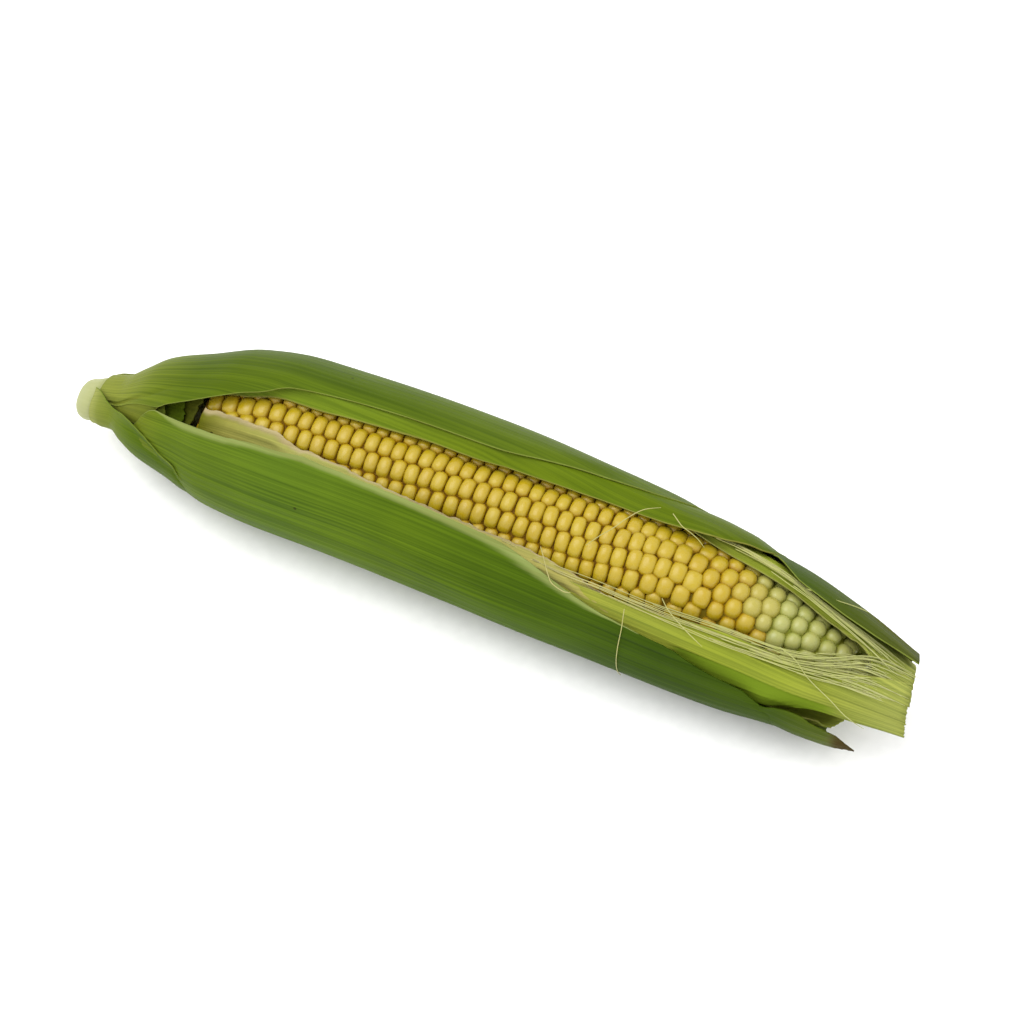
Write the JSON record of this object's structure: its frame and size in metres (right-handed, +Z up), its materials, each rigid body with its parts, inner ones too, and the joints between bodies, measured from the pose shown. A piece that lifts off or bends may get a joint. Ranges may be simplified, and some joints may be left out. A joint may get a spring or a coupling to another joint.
{
  "type": "corn cob",
  "caption": "Ear of sweet corn lying in its green husk, opened to show the yellow kernels, with silks, a trimmed tip and a short shank.",
  "frame": {"origin": "under the middle of the ear, on the surface that it lies on", "axes": "+X from the shank's cut end to the trimmed tip, +Z up, so the opening in the husk faces -Y and up"},
  "size_m": [0.2738, 0.0578, 0.0552],
  "materials": {
    "shank": "moist green stalk, satin",
    "kernels": "plump golden skin with a soft gloss",
    "outer_husk": "ribbed green leaf, satin",
    "second_husk": "ribbed bright green leaf, satin",
    "inner_husk": "pale thin leaf, satin",
    "silk": "fine pale threads"
  },
  "bodies": {
    "root": {"shank": "shank", "kernel_cob": "kernels", "base_husk_leaf": "outer_husk", "upper_husk_leaf": "outer_husk", "front_husk_leaf": "outer_husk", "under_husk_leaf": "outer_husk", "keel_husk_leaf": "outer_husk", "back_husk_leaf": "outer_husk", "second_husk_leaf": "second_husk", "lower_inner_leaf": "inner_husk", "upper_inner_leaf": "inner_husk", "inner_wrap_leaf": "inner_husk", "torn_husk_strip": "inner_husk", "leaf_stub_1": "second_husk", "leaf_stub_2": "second_husk", "leaf_stub_3": "second_husk", "upper_silks": "silk", "lower_silks": "silk", "loose_silk_1": "silk", "loose_silk_2": "silk", "loose_silk_3": "silk", "loose_silk_4": "silk", "loose_silk_5": "silk", "loose_silk_6": "silk", "loose_silk_7": "silk"}
  },
  "joints": []
}
